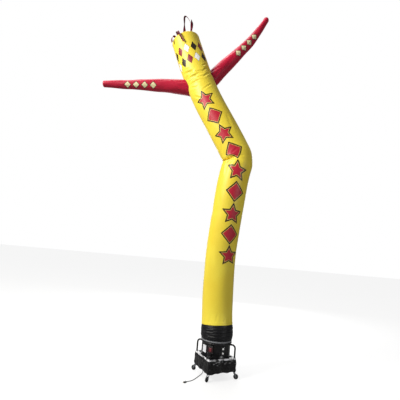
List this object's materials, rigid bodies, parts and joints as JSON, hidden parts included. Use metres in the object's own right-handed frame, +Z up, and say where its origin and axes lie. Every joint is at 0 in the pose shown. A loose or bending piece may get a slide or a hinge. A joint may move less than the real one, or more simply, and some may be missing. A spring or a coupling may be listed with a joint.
{
  "type": "inflatable air dancer with its blower",
  "caption": "Bent inflatable tube figure of yellow cloth with tapering red arms and hair ribbons, its sleeve strapped round a wheeled blower with handles, skirt, switch and mains cord.",
  "frame": {"origin": "the point on the floor midway between the blower's four casters", "axes": "+Z up, -Y the front that the picture shows, +X to the right of that front"},
  "size_m": [2.6688, 0.954, 5.8399],
  "materials": {
    "yellow ripstop nylon": "light coated cloth",
    "red ripstop nylon": "light coated cloth",
    "dark red ribbon nylon": "light coated cloth",
    "black oxford cloth": "heavy woven cloth",
    "grey polypropylene webbing": "woven webbing",
    "black coated nylon": "shiny crumpled coated cloth",
    "black enamelled steel": "satin enamel",
    "zinc plated steel": "bright zinc",
    "black rubber": "matte",
    "black moulded plastic": "matte",
    "red translucent plastic": "gloss",
    "white moulded plastic": "gloss",
    "grey cord sheath": "matte"
  },
  "bodies": {
    "root": {"body_tube": "yellow ripstop nylon", "crown": "yellow ripstop nylon", "arm_left": "red ripstop nylon", "arm_right": "red ripstop nylon", "sleeve": "black oxford cloth", "strap": "grey polypropylene webbing", "skirt": "black coated nylon", "blower_drum": "black enamelled steel", "base_frame": "black enamelled steel", "handle_left": "black enamelled steel", "handle_right": "black enamelled steel", "switch_box": "black moulded plastic", "control_plate": "black moulded plastic", "cap_upper": "white moulded plastic", "cap_lower": "white moulded plastic", "label_plate": "white moulded plastic", "cord_gland": "black moulded plastic", "cord_run_in": "grey cord sheath", "cord_run_out": "grey cord sheath", "cord_coil": "grey cord sheath", "plug": "black moulded plastic", "ribbon_1": "dark red ribbon nylon", "ribbon_2": "dark red ribbon nylon", "ribbon_3": "dark red ribbon nylon", "ribbon_4": "dark red ribbon nylon", "ribbon_5": "dark red ribbon nylon", "leg_front": "black enamelled steel", "leg_right": "black enamelled steel", "leg_back": "black enamelled steel", "leg_left": "black enamelled steel"},
    "caster_front": {"caster_fork_front": "zinc plated steel"},
    "wheel_front": {"caster_wheel_front": "black rubber"},
    "caster_right": {"caster_fork_right": "zinc plated steel"},
    "wheel_right": {"caster_wheel_right": "black rubber"},
    "caster_back": {"caster_fork_back": "zinc plated steel"},
    "wheel_back": {"caster_wheel_back": "black rubber"},
    "caster_left": {"caster_fork_left": "zinc plated steel"},
    "wheel_left": {"caster_wheel_left": "black rubber"},
    "rocker": {"switch_rocker": "red translucent plastic"}
  },
  "joints": [
    {"name": "caster_swivel_front", "type": "hinge", "parent": "root", "child": "caster_front", "pos_m": [-0.10261, -0.28191, 0.098], "axis": [0, 0, 1], "continuous": true},
    {"name": "wheel_spin_front", "type": "hinge", "parent": "caster_front", "child": "wheel_front", "pos_m": [-0.11982, -0.30648, 0.036], "axis": [0.8192, -0.5736, 0], "continuous": true},
    {"name": "caster_swivel_right", "type": "hinge", "parent": "root", "child": "caster_right", "pos_m": [0.28191, -0.10261, 0.098], "axis": [0, 0, 1], "continuous": true},
    {"name": "wheel_spin_right", "type": "hinge", "parent": "caster_right", "child": "wheel_right", "pos_m": [0.31145, -0.10782, 0.036], "axis": [0.1736, 0.9848, 0], "continuous": true},
    {"name": "caster_swivel_back", "type": "hinge", "parent": "root", "child": "caster_back", "pos_m": [0.10261, 0.28191, 0.098], "axis": [0, 0, 1], "continuous": true},
    {"name": "wheel_spin_back", "type": "hinge", "parent": "caster_back", "child": "wheel_back", "pos_m": [0.11669, 0.3084, 0.036], "axis": [-0.8829, 0.4695, 0], "continuous": true},
    {"name": "caster_swivel_left", "type": "hinge", "parent": "root", "child": "caster_left", "pos_m": [-0.28191, 0.10261, 0.098], "axis": [0, 0, 1], "continuous": true},
    {"name": "wheel_spin_left", "type": "hinge", "parent": "caster_left", "child": "wheel_left", "pos_m": [-0.30789, 0.11761, 0.036], "axis": [-0.5, -0.866, 0], "continuous": true},
    {"name": "switch_rocker_tilt", "type": "hinge", "parent": "root", "child": "rocker", "pos_m": [-0.09807, -0.23105, 0.406], "axis": [-0.9205, 0.3907, 0], "range_deg": [-8, 8]}
  ]
}
